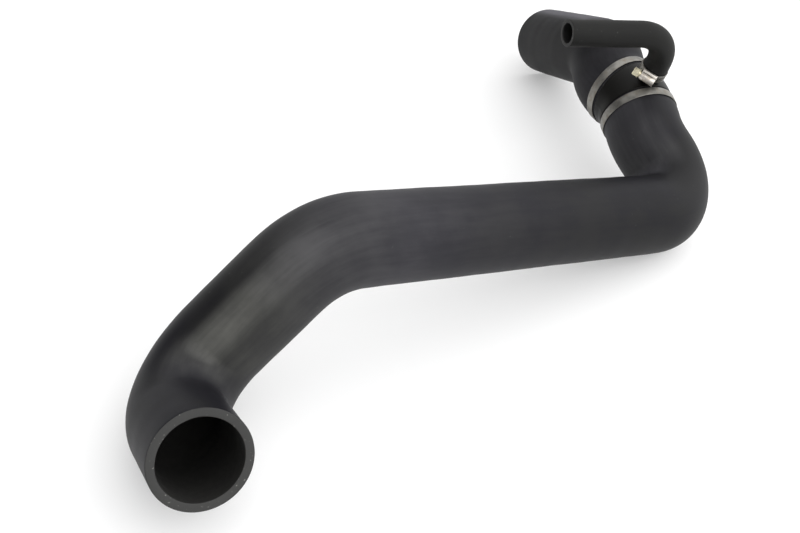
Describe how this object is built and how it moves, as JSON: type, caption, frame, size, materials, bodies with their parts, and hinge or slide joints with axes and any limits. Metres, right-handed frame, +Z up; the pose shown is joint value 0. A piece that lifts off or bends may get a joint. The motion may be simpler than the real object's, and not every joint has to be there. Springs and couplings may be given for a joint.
{
  "type": "oil hose",
  "caption": "Formed rubber oil hose in two large sections joined by an angled tee under ear clamps, with a small bent branch hose on the tee's stub under a worm clamp.",
  "frame": {"origin": "middle of the bounding box's bottom, on the bench that the hose lies on", "axes": "+Z up from the bench, +Y from the open front end towards the open rear end, +X to the side of the rear bend"},
  "size_m": [0.472, 0.687, 0.1863],
  "materials": {
    "hose_rubber": "black rubber with a soft satin sheen and faint streaks",
    "branch_rubber": "matt black rubber",
    "tee_plastic": "smooth brown-black moulded plastic",
    "band_steel": "satin stainless strip",
    "housing_steel": "bright pressed stainless steel",
    "screw_zinc": "yellow zinc plate"
  },
  "bodies": {
    "hose_assembly": {"main_hose": "hose_rubber", "elbow_hose": "hose_rubber", "branch_hose": "branch_rubber", "tee_connector": "tee_plastic", "main_hose_clamp": "band_steel", "elbow_hose_clamp": "band_steel", "worm_clamp_band": "band_steel", "worm_clamp_housing": "housing_steel"},
    "clamp_screw": {"worm_clamp_screw": "screw_zinc"}
  },
  "joints": [
    {"name": "clamp_screw_turn", "type": "hinge", "parent": "hose_assembly", "child": "clamp_screw", "pos_m": [0.17304, 0.09312, 0.12169], "axis": [-0.8447, 0.441, 0.3032], "continuous": true}
  ]
}
